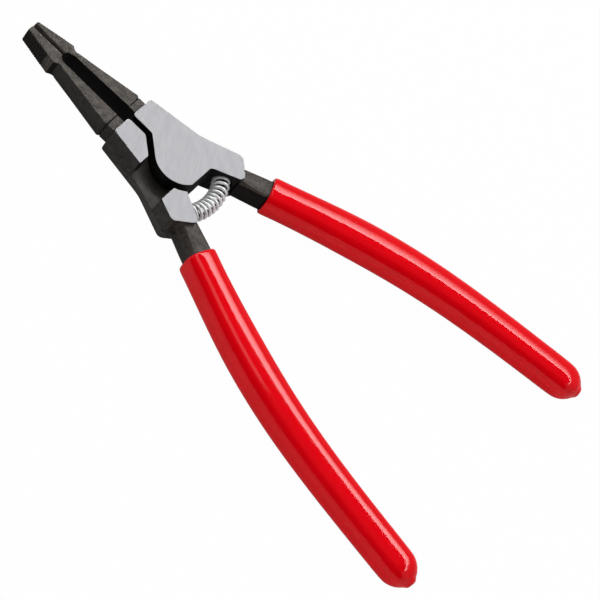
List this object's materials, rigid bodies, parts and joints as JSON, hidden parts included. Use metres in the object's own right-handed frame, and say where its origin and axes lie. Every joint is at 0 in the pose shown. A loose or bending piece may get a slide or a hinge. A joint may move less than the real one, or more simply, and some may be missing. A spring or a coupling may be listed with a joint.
{
  "type": "circlip pliers",
  "caption": "Straight-nosed external circlip pliers: two black forged levers on a flush rivet, bent coil opening spring and glossy red dipped handle sleeves; squeezing opens the jaws.",
  "frame": {"origin": "on the pivot axis, at the polished back face of the joint", "axes": "+X along the tool to the jaw tips, +Y to the back lever's handle, +Z along the pivot to the front face"},
  "size_m": [0.1712, 0.0974, 0.0095],
  "materials": {
    "black_steel": "burnished black, joint faces ground bright",
    "bright_steel": "ground bright",
    "spring_wire": "bright plated",
    "red_pvc": "glossy dip coating"
  },
  "bodies": {
    "back_half": {"back_lever": "black_steel", "back_grip": "red_pvc", "pivot_rivet": "bright_steel", "opening_spring": "spring_wire"},
    "front_half": {"front_lever": "black_steel", "front_grip": "red_pvc"}
  },
  "joints": [
    {"name": "handle_squeeze", "type": "hinge", "parent": "back_half", "child": "front_half", "pos_m": [0, 0, 0.00435], "axis": [0, 0, -1], "range_deg": [0, 28], "stiffness_Nm_per_rad": 0.55, "springref_deg": -17.19, "deforming": ["opening_spring"]}
  ]
}
